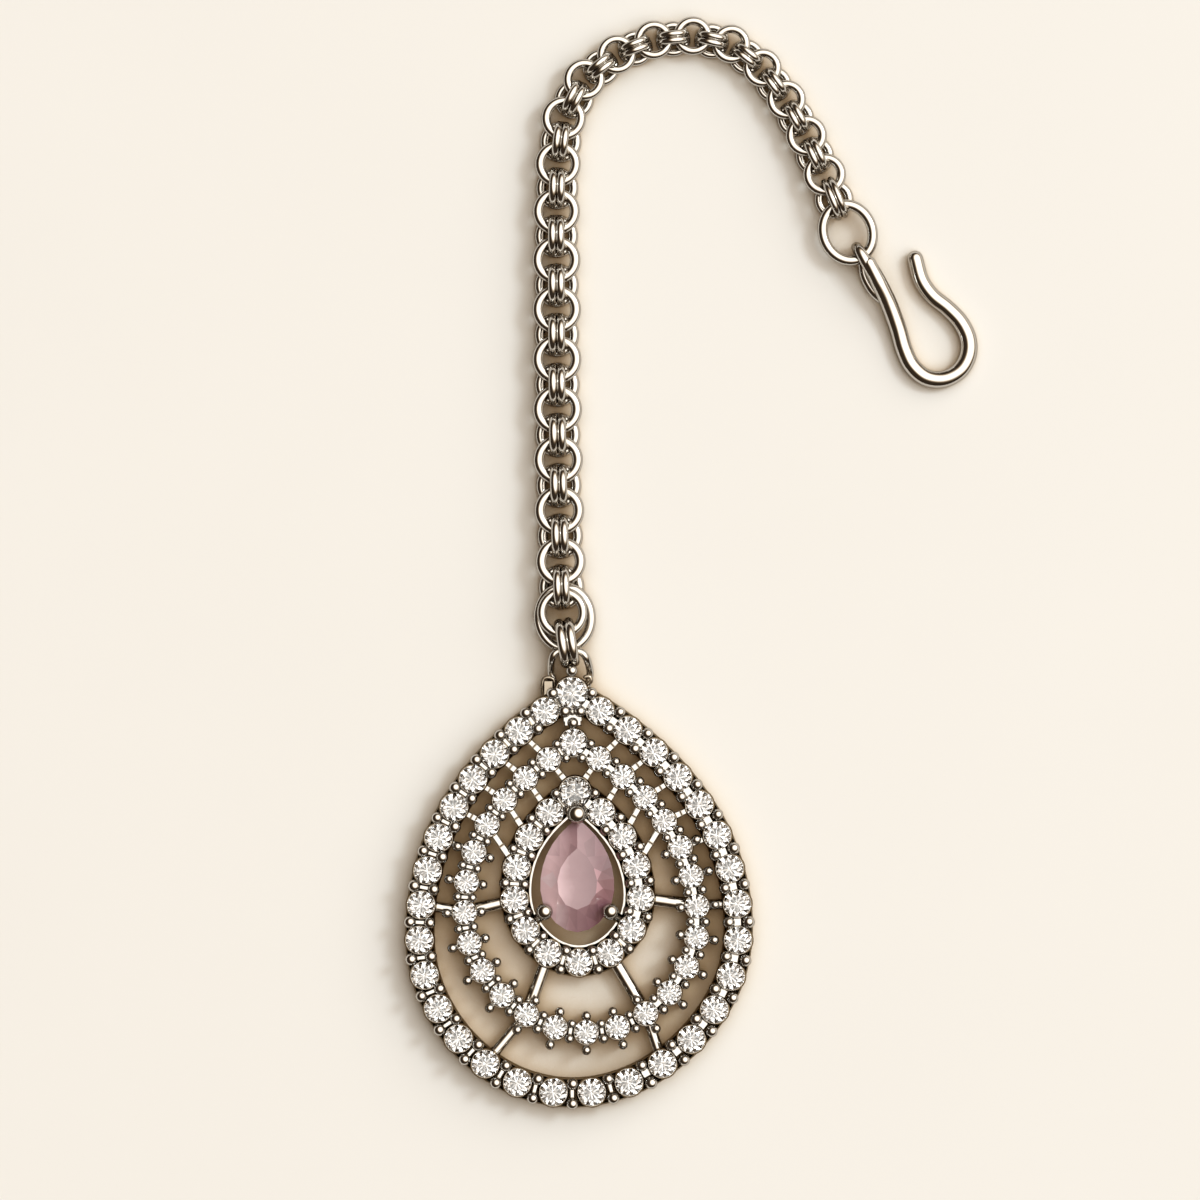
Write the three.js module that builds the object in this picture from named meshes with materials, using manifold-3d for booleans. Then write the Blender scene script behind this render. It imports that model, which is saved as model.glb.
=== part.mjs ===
// A maang tikka lying flat, face up: a hook, a chain and an openwork pear pendant.
// Millimetres, +Z up. The pendant hangs towards -Y, and everything rests on z = 0.

import * as THREE from 'three';
import { mergeVertices } from 'three/addons/utils/BufferGeometryUtils.js';
import Module from 'manifold-3d';

const wasm = await Module();
wasm.setup();

// Sizes of the pendant. A row's width and height run through the middles of its stones, and its
// tip is measured from the outer row's tip. lean shifts its foot sideways and bow its waist.

const outer_row = {
  stones: 31,
  width: 28.5,
  height: 35.9,
  tip: { right: 0, down: 0 },
  lean: 0.05,
  bow: 0.65,
  first_pitch_share: 0.85,
  stone: 2.6,
  tip_stone: 2.95,
  band: 2.9,
  prongs_across: 2.84,
};
const middle_row = {
  stones: 26,
  width: 20.8,
  height: 25.95,
  tip: { right: 0.15, down: 4.45 },
  lean: 1.15,
  bow: 0,
  first_pitch_share: 0.94,
  stone: 2.35,
  tip_stone: 2.6,
  band: 1.2,
  prongs_across: 2.5,
};
const halo_row = {
  stones: 14,
  width: 11.3,
  height: 15.25,
  tip: { right: 0.3, down: 8.9 },
  lean: 0.35,
  bow: 0,
  first_pitch_share: 1,
  stone: 2.6,
  tip_stone: 2.95,
  band: 2.9,
  prongs_across: 2.84,
};

// The half outline of every pear here, from its tip to its foot, as shares of its height and of
// half its width
const pear_outline = [
  { down: 0.0, out: 0.0 },
  { down: 0.09, out: 0.33 },
  { down: 0.21, out: 0.64 },
  { down: 0.365, out: 0.885 },
  { down: 0.55, out: 1.0 },
  { down: 0.71, out: 0.96 },
  { down: 0.86, out: 0.74 },
  { down: 0.965, out: 0.39 },
];

const seat_height = 2.4;
const stone_rise = 0.5;
const table_share = 0.56;
const stone_sides = 8;
const prongs = { width: 0.44, bottom: 0.5, top: 2.8 };
const radial_prongs_across = 3.7;
const first_pronged_stone = 5;
const strut = { width: 0.55, bottom: 0.8, height: 0.75 };
const tip_plate = { width: 1.6, bottom: 1.2, height: 0.8 };

// Which stones the struts join, counted from the tip of each row on both sides
const short_struts_outside = 5;
const short_struts_inside = 4;
const long_struts = [
  { outer: 8, middle: 7, halo: 4 },
  { outer: 13, middle: 11, halo: 6 },
];

// The centre stone and its claws

const centre_stone = {
  width: 6.6,
  height: 10.2,
  tip: { right: 0.5, down: 11.2 },
  culet: 1.0,
  girdle: 2.75,
  girdle_height: 0.25,
  table: 4.1,
  table_share: 0.62,
  culet_share: 0.3,
  middle_down: 0.58,
  sides: 24,
};
const claw = { post: 0.64, foot: 0.9, ball_height: 4.0, clear_of_girdle: 0.14 };
const claws = [
  { at: 0, ball: 1.8, outside_girdle: 0.23 },
  { at: 0.36, ball: 1.45, outside_girdle: 0.2 },
  { at: 0.64, ball: 1.45, outside_girdle: 0.2 },
];

// The chain. The round rings lie level, and an upright double link stands between each two. The
// sizes are those next to the pendant, and the rings get smaller round the bend. The last ring
// before the pendant has a thinner wire.

const chain_rings = 20;
const ring_wire = 1.0;
const last_ring_wire = 0.84;
const ring_outside = 4.6;
const upright_wire = 0.82;
const under_wire = 0.92;
const under_outside = 4.2;
const wire_gap = 0.08;
const wall_gap = 0.14;

// A double wire's section, in halves of one wire: the waist is where its two wires meet
const double_waist = 0.45;
const double_apart = 0.97;

const ring_scale = [
  { along: 0.0, scale: 0.985 },
  { along: 0.35, scale: 0.95 },
  { along: 0.52, scale: 0.88 },
  { along: 0.64, scale: 0.76 },
  { along: 0.86, scale: 0.755 },
  { along: 1.0, scale: 0.84 },
];

// The chain's route from the pendant's bail to past the hook's ring
const chain_route = [
  { x: -0.28, y: 3.7 },
  { x: -0.86, y: 7.2 },
  { x: -1.0, y: 11.8 },
  { x: -1.25, y: 22.0 },
  { x: -1.36, y: 34.0 },
  { x: -1.3, y: 46.6 },
  { x: -0.8, y: 51.4 },
  { x: 1.5, y: 55.5 },
  { x: 5.7, y: 58.1 },
  { x: 10.2, y: 59.0 },
  { x: 14.2, y: 58.3 },
  { x: 17.5, y: 55.7 },
  { x: 20.2, y: 51.6 },
  { x: 22.6, y: 46.7 },
  { x: 24.7, y: 41.5 },
  { x: 26.5, y: 37.0 },
];

// The links at the chain's two ends, and the rings and the bail that they hold

const last_link = { wire: 0.76, hole: 2.5 };
const end_link = { wire: 0.9, hole: 2.7 };
const pendant_jump_ring = { wire: 0.9, width: 5.6, near_climb: 0.1, from_bail: 0.35 };
const bail = { wire: 0.66, height: 2.36, foot: 0.59, clearance: 0.17 };

// One leg of the bail, from its foot behind the tip stone to the middle of its top
const bail_leg = [
  { up: 0, apart: 2.8, drop: 1.26 },
  { up: 0.4, apart: 3.5, drop: 1.06 },
  { up: 0.88, apart: 2.9, drop: 0.05 },
  { up: 1, apart: 2.09, drop: 0 },
];

const hook_link = { wire: 0.64, hole: 2.7 };
const hook_jump_ring = { wire: 0.86, length: 6.0, width: 5.25, height: 1.56, clearance: 0.24 };

// How far the end links hold their rings from their own wire, and rings that cross lie apart
const seat_gap = 0.1;
const last_link_drop = 0.08;

// The hook, in its own directions: along its shank from the ring it holds, and across it

const hook = {
  wire: 1.55,
  eye_wire: 0.96,
  length: 13.5,
  width: 5.85,
  turn_degrees: 31,
  eye_clearance: 0.1,
};
const hook_outline = [
  { along: 0.06, across: 0.03, lift: 1.0 },
  { along: 0.2, across: 0.01, lift: 0.74 },
  { along: 0.36, across: -0.02, lift: 0.34 },
  { along: 0.53, across: -0.09, lift: 0.08 },
  { along: 0.67, across: -0.175, lift: 0.01 },
  { along: 0.79, across: -0.2, lift: 0 },
  { along: 0.905, across: -0.11, lift: 0 },
  { along: 0.975, across: 0.11, lift: 0 },
  { along: 0.98, across: 0.4, lift: 0 },
  { along: 0.92, across: 0.63, lift: 0 },
  { along: 0.83, across: 0.755, lift: 0 },
  { along: 0.71, across: 0.785, lift: 0 },
  { along: 0.58, across: 0.72, lift: 0 },
  { along: 0.46, across: 0.62, lift: 0 },
  { along: 0.336, across: 0.6, lift: 0 },
  { along: 0.19, across: 0.69, lift: 0 },
];

// The eye comes back under the shank: along and across as above, and up from the ring's underside
const hook_eye_start = [
  { along: 0.2, lift: 0.72 },
  { along: 0.1, lift: 0.94 },
];
const hook_eye_return = [
  { along: 0.12, across: -0.11, up: 0.05 },
  { along: 0.24, across: -0.12, up: 0.35 },
];
const hook_eye_end = { along: 0.33, across: -0.05, over_shank: 0.45 };

// How finely round things are faceted
const link_sides = 10;
const wire_sides = 5;
const hook_sides = 8;
const hook_steps = 26;
const eye_steps = 14;
const bail_sides = 6;
const bail_steps = 16;
const post_sides = 8;
const ball_sides = 8;
const ball_rings = 6;
const route_divisions = 2000;

// Corners this close together are one corner, and joined solids lose those this close to a flat
// face
const same_within = 1e-5;
const flat_within = 0.005;

const metal = { color: 0xa89f94, roughness: 0.22, metalness: 1 };
const rose = { color: 0xc9909f, roughness: 0.12, metalness: 0 };

// Closed meshes, and the joining of them

function bare(geometry) {
  const plain = geometry.index ? geometry.clone() : geometry;
  plain.deleteAttribute('normal');
  plain.deleteAttribute('uv');
  return mergeVertices(plain, same_within);
}

function solid(geometry) {
  const merged = bare(geometry);
  const corners = Float32Array.from(merged.attributes.position.array);
  const triangles = Uint32Array.from(merged.index.array);
  const kept = [];
  for (let i = 0; i < triangles.length; i += 3) {
    const [a, b, c] = triangles.subarray(i, i + 3);
    if (a !== b && b !== c && c !== a) kept.push(a, b, c);
  }
  const triVerts = Uint32Array.from(kept);
  if (signed_volume(corners, triVerts) < 0) triVerts.reverse();
  return new wasm.Manifold(new wasm.Mesh({ numProp: 3, vertProperties: corners, triVerts }));
}

function signed_volume(corners, triangles) {
  const point = (i) => new THREE.Vector3().fromArray(corners, 3 * i);
  let volume = 0;
  for (let i = 0; i < triangles.length; i += 3) {
    const [a, b, c] = [0, 1, 2].map((k) => point(triangles[i + k]));
    volume += a.dot(b.cross(c)) / 6;
  }
  return volume;
}

function joined(solids) {
  let pool = solids;
  while (pool.length > 1) {
    const next = [];
    for (let i = 0; i < pool.length; i += 2) {
      next.push(i + 1 < pool.length ? pool[i].add(pool[i + 1]) : pool[i]);
    }
    pool = next;
  }
  return pool[0].asOriginal().simplify(flat_within);
}

function named_mesh(name, body, look) {
  const { vertProperties, triVerts } = body.getMesh();
  const geometry = new THREE.BufferGeometry();
  geometry.setAttribute('position', new THREE.BufferAttribute(Float32Array.from(vertProperties), 3));
  geometry.setIndex(new THREE.BufferAttribute(Uint32Array.from(triVerts), 1));
  geometry.computeVertexNormals();
  const mesh = new THREE.Mesh(geometry, new THREE.MeshStandardMaterial(look));
  mesh.name = name;
  return mesh;
}

function upright_box(width, length, bottom, height) {
  return new THREE.BoxGeometry(width, length, height).translate(0, 0, bottom + height / 2);
}

// Pears and the places along them

function pear_curve({ width, height, tip, lean = 0, bow = 0 }) {
  const place = ({ down, out }, side) => {
    const shift = lean * down + bow * Math.sin(Math.PI * down);
    const x = tip.right + shift + side * out * width / 2;
    return new THREE.Vector3(x, -tip.down - down * height, 0);
  };
  const right = pear_outline.map((row) => place(row, 1));
  const left = pear_outline.map((row) => place(row, -1)).reverse();
  const foot = place({ down: 1, out: 0 }, 0);
  return new THREE.CatmullRomCurve3([...right, foot, ...left], false, 'centripetal');
}

// How far down its side of a row a stone lies, 0 at the tip and 1 at the foot. The pitch grows
// evenly from the tip to the foot.
function share_down_side(row, number) {
  const half = row.stones / 2;
  const first = 2 * row.first_pitch_share / (1 + row.first_pitch_share);
  const step = number / half;
  return first * step + (1 - first) * step * step;
}

// The place of a stone, counted clockwise from the tip, and of a junction, at a half number
function row_place(row, number) {
  const curve = pear_curve(row);
  const lengths = curve.getLengths(curve.arcLengthDivisions);
  const foot = lengths[curve.arcLengthDivisions / 2] / lengths[curve.arcLengthDivisions];
  const count = number % row.stones;
  const right = count <= row.stones / 2;
  const down = share_down_side(row, right ? count : row.stones - count);
  const share = right ? down * foot : 1 - down * (1 - foot);
  const tangent = curve.getTangentAt(share);
  const outward = count === 0 ? [0, 1] : [-tangent.y, tangent.x];
  return { point: curve.getPointAt(share), outward: new THREE.Vector3(...outward, 0) };
}

// The three rows of stones

// A stone in its seat, turned so that its flats face the stones beside it
function stone_in_seat({ point, outward }, width) {
  const across = width / 2;
  const profile = [
    new THREE.Vector2(0, 0),
    new THREE.Vector2(across, 0),
    new THREE.Vector2(across, seat_height),
    new THREE.Vector2(across * table_share, seat_height + stone_rise),
    new THREE.Vector2(0, seat_height + stone_rise),
  ];
  const lathe = new THREE.LatheGeometry(profile, stone_sides).rotateX(Math.PI / 2);
  const turn = Math.atan2(outward.y, outward.x) + Math.PI / stone_sides;
  return solid(lathe.rotateZ(turn).translate(point.x, point.y, 0));
}

function bar_between(from, to, width, bottom, height) {
  const length = from.distanceTo(to);
  const angle = Math.atan2(to.y - from.y, to.x - from.x) - Math.PI / 2;
  const middle = from.clone().add(to).multiplyScalar(0.5);
  const box = upright_box(width, length, bottom, height);
  return solid(box.rotateZ(angle).translate(middle.x, middle.y, 0));
}

// The metal that the stones of a row sit in, a band as wide as the row's walls
function row_band(row) {
  const edge = (side) => {
    const points = [];
    for (let i = 0; i < row.stones; i += 1) {
      const { point, outward } = row_place(row, i);
      const spot = point.clone().addScaledVector(outward, side * row.band / 2);
      points.push(new THREE.Vector2(spot.x, spot.y));
    }
    return points;
  };
  const shape = new THREE.Shape(edge(1));
  shape.holes.push(new THREE.Path(edge(-1).reverse()));
  return solid(new THREE.ExtrudeGeometry(shape, { depth: seat_height, bevelEnabled: false }));
}

// A pair of prongs, one on each side of the row
function prong_pair({ point, outward }, across, top) {
  const from = point.clone().addScaledVector(outward, across / 2);
  const to = point.clone().addScaledVector(outward, -across / 2);
  return bar_between(from, to, prongs.width, prongs.bottom, top - prongs.bottom);
}

function stone_row(row, pronged) {
  const pieces = [row_band(row)];
  for (let i = 0; i < row.stones; i += 1) {
    const place = row_place(row, i);
    pieces.push(stone_in_seat(place, i === 0 ? row.tip_stone : row.stone));
    pieces.push(prong_pair(row_place(row, i + 0.5), row.prongs_across, prongs.top));
    const from_tip = Math.min(i, row.stones - i);
    if (pronged && from_tip >= first_pronged_stone) {
      pieces.push(prong_pair(place, radial_prongs_across, seat_height));
    }
  }
  return pieces;
}

// The struts between the rows, the same ones left and right

function struts() {
  const pieces = [];
  const place = (row, number, side) => row_place(row, side > 0 ? number : row.stones - number).point;
  const join = (row_a, a, row_b, b, side) => {
    const from = place(row_a, a, side);
    const to = place(row_b, b, side);
    pieces.push(bar_between(from, to, strut.width, strut.bottom, strut.height));
  };
  for (const side of [-1, 1]) {
    for (let i = 1; i <= short_struts_outside; i += 1) join(outer_row, i + 1, middle_row, i, side);
    for (let i = 1; i <= short_struts_inside; i += 1) join(middle_row, i, halo_row, i - 1, side);
    for (const { outer, middle, halo } of long_struts) {
      join(outer_row, outer, middle_row, middle, side);
      join(middle_row, middle, halo_row, halo, side);
    }
  }
  const [top, below] = [outer_row, middle_row].map((row) => row_place(row, 0).point);
  pieces.push(bar_between(top, below, tip_plate.width, tip_plate.bottom, tip_plate.height));
  return pieces;
}

// The claws, which rise from the halo's inner edge over the rim of the centre stone

function claw_pieces() {
  const girdle = pear_curve(centre_stone);
  const halo = pear_curve(halo_row);
  const pieces = [];
  for (const { at, ball, outside_girdle } of claws) {
    const rim = girdle.getPointAt(at);
    const outward = halo.getPointAt(at).sub(rim).normalize();
    const post_at = rim.clone().addScaledVector(outward, claw.post / 2 + claw.clear_of_girdle);
    const ball_at = rim.clone().addScaledVector(outward, outside_girdle);
    const post_height = claw.ball_height - claw.foot;
    const post = new THREE.CylinderGeometry(claw.post / 2, claw.post / 2, post_height, post_sides);
    post.rotateX(Math.PI / 2).translate(post_at.x, post_at.y, claw.foot + post_height / 2);
    const foot_at = rim.clone().addScaledVector(outward, halo_row.band / 2 + claw.post);
    pieces.push(solid(post));
    pieces.push(bar_between(post_at, foot_at, claw.post, claw.foot, claw.post));
    const sphere = new THREE.SphereGeometry(ball / 2, ball_sides, ball_rings);
    sphere.rotateX(Math.PI / 2).translate(ball_at.x, ball_at.y, claw.ball_height);
    pieces.push(solid(sphere));
  }
  return pieces;
}

// The centre stone: a pear with a flat table, a crown, a girdle and a pavilion

function pear_ring(share, height) {
  const curve = pear_curve(centre_stone);
  const middle = new THREE.Vector3(
    centre_stone.tip.right,
    -centre_stone.tip.down - centre_stone.height * centre_stone.middle_down,
    0,
  );
  const points = [];
  for (let i = 0; i < centre_stone.sides; i += 1) {
    const point = curve.getPointAt(i / centre_stone.sides).lerp(middle, 1 - share);
    points.push(point.setZ(height));
  }
  return points;
}

function centre_stone_solid() {
  const { culet, girdle, girdle_height, table, sides } = centre_stone;
  const rings = [
    pear_ring(centre_stone.culet_share, culet),
    pear_ring(1, girdle),
    pear_ring(1, girdle + girdle_height),
    pear_ring(centre_stone.table_share, table),
  ];
  const caps = [rings[0], rings[rings.length - 1]].map((ring) => {
    const middle = new THREE.Vector3();
    for (const point of ring) middle.addScaledVector(point, 1 / ring.length);
    return middle;
  });
  const corners = [...rings.flat(), ...caps];
  const foot = rings.length * sides;
  const index = [];
  for (let i = 0; i < sides; i += 1) {
    const next = (i + 1) % sides;
    for (let level = 0; level + 1 < rings.length; level += 1) {
      const [low, high] = [level * sides, (level + 1) * sides];
      index.push(low + i, low + next, high + next, low + i, high + next, high + i);
    }
    const top = (rings.length - 1) * sides;
    index.push(foot, next, i, foot + 1, top + i, top + next);
  }
  const geometry = new THREE.BufferGeometry().setFromPoints(corners);
  geometry.setIndex(index);
  return solid(geometry);
}

// Rings and links

function single_wire(wire) {
  const profile = [];
  for (let i = 0; i < wire_sides; i += 1) {
    const angle = 2 * Math.PI * i / wire_sides;
    profile.push({ out: Math.cos(angle) * wire / 2, up: Math.sin(angle) * wire / 2 });
  }
  return profile;
}

function double_wire(wire) {
  const half = wire / 2;
  const waist = half * double_waist;
  const apart = half * double_apart;
  return [
    { out: half, up: apart },
    { out: waist, up: 0 },
    { out: half, up: -apart },
    { out: 0, up: -2 * apart },
    { out: -half, up: -apart },
    { out: -waist, up: 0 },
    { out: -half, up: apart },
    { out: 0, up: 2 * apart },
  ];
}

// A ring about Z whose centreline is length by width. The hole's facets are moved out until their
// flats keep the hole's full size.
function ring_geometry(profile, length, width, sides) {
  const facet = 1 / Math.cos(Math.PI / sides);
  const radius = width / 2;
  const points = profile.map(({ out, up }) => {
    const reach = out < 0 ? (radius + out) * facet : radius + out;
    return new THREE.Vector2(reach, up);
  });
  points.push(points[0].clone());
  const geometry = new THREE.LatheGeometry(points, sides).rotateX(Math.PI / 2);
  const spots = geometry.attributes.position;
  for (let i = 0; i < spots.count; i += 1) {
    const angle = Math.atan2(spots.getY(i), spots.getX(i));
    const out = Math.hypot(spots.getX(i), spots.getY(i)) - radius;
    const normal = new THREE.Vector2(Math.cos(angle) / width, Math.sin(angle) / length).normalize();
    const x = Math.cos(angle) * width / 2 + normal.x * out;
    const y = Math.sin(angle) * length / 2 + normal.y * out;
    spots.setXYZ(i, x, y, spots.getZ(i));
  }
  return geometry;
}

// Places a ring that was made about Z with its length along Y: tilted, turned to the chain's
// direction there, and lifted.
function placed(geometry, { point, heading, height, rise = 0 }) {
  geometry.rotateX(rise);
  geometry.rotateZ(Math.atan2(heading.y, heading.x) - Math.PI / 2);
  return geometry.translate(point.x, point.y, height);
}

function upright_link(link, { point, heading }) {
  const outside = link.hole + 2 * link.wire;
  const across = link.hole + link.wire;
  const ring = ring_geometry(double_wire(link.wire), across, across, link_sides);
  ring.rotateZ(Math.PI / link_sides).rotateY(Math.PI / 2);
  const pieces = [solid(placed(ring, { point, heading, height: outside / 2 }))];
  if (link.under) {
    const size = link.under.outside - link.under.wire;
    const under = ring_geometry(single_wire(link.under.wire), size, size, link_sides);
    under.rotateZ(Math.PI / 2);
    pieces.push(solid(placed(under, { point, heading, height: link.under.wire / 2 })));
  }
  return joined(pieces);
}

// Where the chain's rings and links lie, from the bail to the hook

function scale_at(share) {
  const after = Math.max(1, ring_scale.findIndex((row) => row.along >= share));
  const [low, high] = [ring_scale[after - 1], ring_scale[after]];
  const part = (share - low.along) / (high.along - low.along);
  return THREE.MathUtils.lerp(low.scale, high.scale, THREE.MathUtils.clamp(part, 0, 1));
}

// How far from a link's middle a wire lies that it holds
function seat(link, wire, clearance) {
  return (link.hole - wire) / 2 - clearance;
}

function chain_plan() {
  const points = chain_route.map(({ x, y }) => new THREE.Vector3(x, y, 0));
  const route = new THREE.CatmullRomCurve3(points, false, 'centripetal');
  route.arcLengthDivisions = route_divisions;
  const length = route.getLength();
  const at = (distance) => {
    const share = THREE.MathUtils.clamp(distance / length, 0, 1);
    return { point: route.getPointAt(share), heading: route.getTangentAt(share) };
  };
  const end_at = seat(end_link, bail.wire, bail.clearance);
  const ring_seat = seat(end_link, last_ring_wire, seat_gap);
  let distance = end_at + ring_seat + (ring_outside - last_ring_wire) / 2;
  const rings = [];
  for (let i = 0; i < chain_rings; i += 1) {
    const scale = scale_at(i / (chain_rings - 1));
    if (i > 0) distance += (rings[i - 1].scale + scale) / 2 * ring_outside + wire_gap * scale;
    const wire = (i === 0 ? last_ring_wire : ring_wire) * scale;
    rings.push({ scale, wire, distance, ...at(distance) });
  }
  const last = rings[rings.length - 1];
  const last_radius = (ring_outside * last.scale - last.wire) / 2;
  const hook_link_at = last.distance + last_radius + seat(hook_link, last.wire, seat_gap);
  const hook_ring_reach = (hook_jump_ring.length - hook_jump_ring.wire) / 2;
  const hook_ring_seat = seat(hook_link, hook_jump_ring.wire, hook_jump_ring.clearance);
  return {
    rings,
    end_link: { distance: end_at, ...at(end_at) },
    pendant_jump_near: at(pendant_jump_ring.from_bail).point,
    hook_link: { distance: hook_link_at, ...at(hook_link_at) },
    hook_ring: at(hook_link_at + hook_ring_seat + hook_ring_reach),
  };
}

const plan = chain_plan();

function standard_link(scale) {
  return {
    wire: upright_wire * scale,
    hole: (2 * ring_wire + wire_gap + 2 * wall_gap) * scale,
    under: { wire: under_wire * scale, outside: under_outside * scale },
  };
}

function link_height(link) {
  return link.hole / 2 + link.wire;
}

// The height of the pendant's jump ring where the last link holds it, over that link's flat ring
function jump_far_height() {
  return under_wire * plan.rings[0].scale + seat_gap + pendant_jump_ring.wire / 2;
}

// The height of the last round ring, which lies over the pendant's jump ring
function lifted_ring_height() {
  return jump_far_height() + (pendant_jump_ring.wire + plan.rings[0].wire) / 2 + seat_gap;
}

// The links between the rings, from the pendant: each with its size, its place and the height at
// which it holds its two rings

function chain_links() {
  const links = [];
  const lifted = lifted_ring_height();
  links.push({ ...end_link, ...plan.end_link, seat_height: lifted });
  for (let i = 0; i + 1 < plan.rings.length; i += 1) {
    const [near, far] = [plan.rings[i], plan.rings[i + 1]];
    const scale = (near.scale + far.scale) / 2;
    const standard = standard_link(scale);
    const link = i === 0 ? { ...last_link, under: standard.under } : standard;
    const reach = near.scale / (near.scale + far.scale);
    const point = near.point.clone().lerp(far.point, reach);
    const heading = far.point.clone().sub(near.point).normalize();
    const seat_height = i === 0 ? lifted - last_link_drop : link_height(link);
    links.push({ ...link, point, heading, seat_height });
  }
  const under = standard_link(plan.rings[plan.rings.length - 1].scale).under;
  const link = { ...hook_link, under };
  links.push({ ...link, ...plan.hook_link, seat_height: link_height(link) });
  return links;
}

const links = chain_links();

function two_digits(number) {
  return String(number).padStart(2, '0');
}

function chain_ring_mesh(number) {
  const from_pendant = chain_rings - number;
  const ring = plan.rings[from_pendant];
  const [near, far] = [links[from_pendant], links[from_pendant + 1]];
  const across = ring_outside * ring.scale - ring.wire;
  const geometry = ring_geometry(single_wire(ring.wire), across, across, link_sides);
  const place = {
    point: ring.point,
    heading: far.point.clone().sub(near.point).normalize(),
    height: (near.seat_height + far.seat_height) / 2,
    rise: Math.atan2(far.seat_height - near.seat_height, across),
  };
  return named_mesh(`chain_ring_${two_digits(number)}`, solid(placed(geometry, place)), metal);
}

function upright_link_mesh(number) {
  const link = links[links.length - number];
  return named_mesh(`upright_link_${two_digits(number)}`, upright_link(link, link), metal);
}

// The large ring next to the pendant, which lies under the last round ring

function pendant_jump_ring_mesh() {
  const { wire, width, near_climb } = pendant_jump_ring;
  const near = plan.pendant_jump_near;
  const far = links[1].point;
  const reach = near.distanceTo(far);
  const far_height = jump_far_height();
  const climb = -near_climb;
  const length = Math.hypot(reach, climb);
  const geometry = ring_geometry(single_wire(wire), length, width - wire, link_sides);
  const place = {
    point: near.clone().lerp(far, 0.5),
    heading: far.clone().sub(near).normalize(),
    height: far_height + near_climb / 2,
    rise: Math.atan2(climb, reach),
  };
  return named_mesh('pendant_jump_ring', solid(placed(geometry, place)), metal);
}

function hook_jump_ring_mesh() {
  const { wire, length, width, height } = hook_jump_ring;
  const geometry = ring_geometry(single_wire(wire), length - wire, width - wire, link_sides);
  const { point, heading } = plan.hook_ring;
  return named_mesh('hook_jump_ring', solid(placed(geometry, { point, heading, height })), metal);
}

// The bail: a wire loop soldered to the back of the tip's seat

function tube(points, wire, sides, steps) {
  const section = new THREE.Shape().absarc(0, 0, wire / 2, 0, 2 * Math.PI, false);
  const path = new THREE.CatmullRomCurve3(points, false, 'centripetal');
  return solid(new THREE.ExtrudeGeometry(section, {
    steps,
    extrudePath: path,
    curveSegments: sides / 2,
    bevelEnabled: false,
  }));
}

function bail_pieces() {
  const start = new THREE.Vector3(chain_route[0].x, chain_route[0].y, bail.height);
  const foot = row_place(outer_row, 0).point.setZ(bail.height);
  foot.y += bail.foot;
  const leg = (side) => bail_leg.map(({ up, apart, drop }) => {
    const spot = foot.clone().lerp(start, up);
    return new THREE.Vector3(spot.x + side * apart / 2, spot.y, bail.height - drop);
  });
  return [tube([...leg(-1), ...leg(1).reverse()], bail.wire, bail_sides, bail_steps)];
}

// The hook: a bent wire whose eye goes round its ring and comes back to the shank

function hook_solid() {
  const { point, heading } = plan.hook_ring;
  const angle = THREE.MathUtils.degToRad(hook.turn_degrees);
  const along = new THREE.Vector3(Math.sin(angle), -Math.cos(angle), 0);
  const across = new THREE.Vector3(Math.cos(angle), Math.sin(angle), 0);
  const ring_length = (hook_jump_ring.length - hook_jump_ring.wire) / 2;
  const ring_width = (hook_jump_ring.width - hook_jump_ring.wire) / 2;
  const off_axis = along.angleTo(heading);
  const reach = 1 / Math.hypot(Math.cos(off_axis) / ring_length, Math.sin(off_axis) / ring_width);
  const origin = point.clone().addScaledVector(along, reach);
  const at = (a, b, z) => {
    const spot = origin.clone().addScaledVector(along, a).addScaledVector(across, b);
    return spot.setZ(z);
  };
  const loop = (hook_jump_ring.wire + hook.eye_wire) / 2 + hook.eye_clearance;
  const ring_z = hook_jump_ring.height;
  const rest = hook.wire / 2;
  const top = ring_z + loop;
  const shank_at = ({ along: down, across: out = 0, lift }) => {
    return at(down * hook.length, out * hook.width, THREE.MathUtils.lerp(rest, top, lift));
  };
  const shank = hook_outline.map(shank_at);
  const corner = loop * Math.SQRT1_2;
  const under = ring_z - loop;
  const eye = [
    ...hook_eye_start.map(shank_at),
    at(0, 0, top),
    at(-corner, 0, ring_z + corner),
    at(-loop, 0, ring_z),
    at(-corner, 0, ring_z - corner),
    at(0, 0, under),
    ...hook_eye_return.map(({ along: down, across: out, up }) => {
      return at(down * hook.length, out * hook.width, under + up);
    }),
    at(
      hook_eye_end.along * hook.length,
      hook_eye_end.across * hook.width,
      rest + hook_eye_end.over_shank,
    ),
  ];
  const tip = shank[shank.length - 1];
  const ball = new THREE.SphereGeometry(rest, hook_sides, ball_rings).translate(tip.x, tip.y, tip.z);
  return joined([
    tube(shank, hook.wire, hook_sides, hook_steps),
    tube(eye, hook.eye_wire, hook_sides, eye_steps),
    solid(ball),
  ]);
}

// The whole: the frame is cast and soldered, so its rows, struts, claws and bail are one piece

function pendant_frame_solid() {
  return joined([
    ...stone_row(outer_row, false),
    ...stone_row(middle_row, true),
    ...stone_row(halo_row, false),
    ...struts(),
    ...claw_pieces(),
    ...bail_pieces(),
  ]);
}

const piece = new THREE.Group();
piece.add(named_mesh('pendant_frame', pendant_frame_solid(), metal));
piece.add(named_mesh('pear_stone', centre_stone_solid(), rose));
piece.add(pendant_jump_ring_mesh());
piece.add(hook_jump_ring_mesh());
piece.add(named_mesh('hook', hook_solid(), metal));
for (let i = 1; i <= chain_rings; i += 1) piece.add(chain_ring_mesh(i));
for (let i = 1; i <= links.length; i += 1) piece.add(upright_link_mesh(i));

// The origin is under the middle of the whole, on the surface it lies on
const box = new THREE.Box3().setFromObject(piece);
const middle = box.getCenter(new THREE.Vector3());
piece.position.set(-middle.x, -middle.y, -box.min.z);

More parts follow.
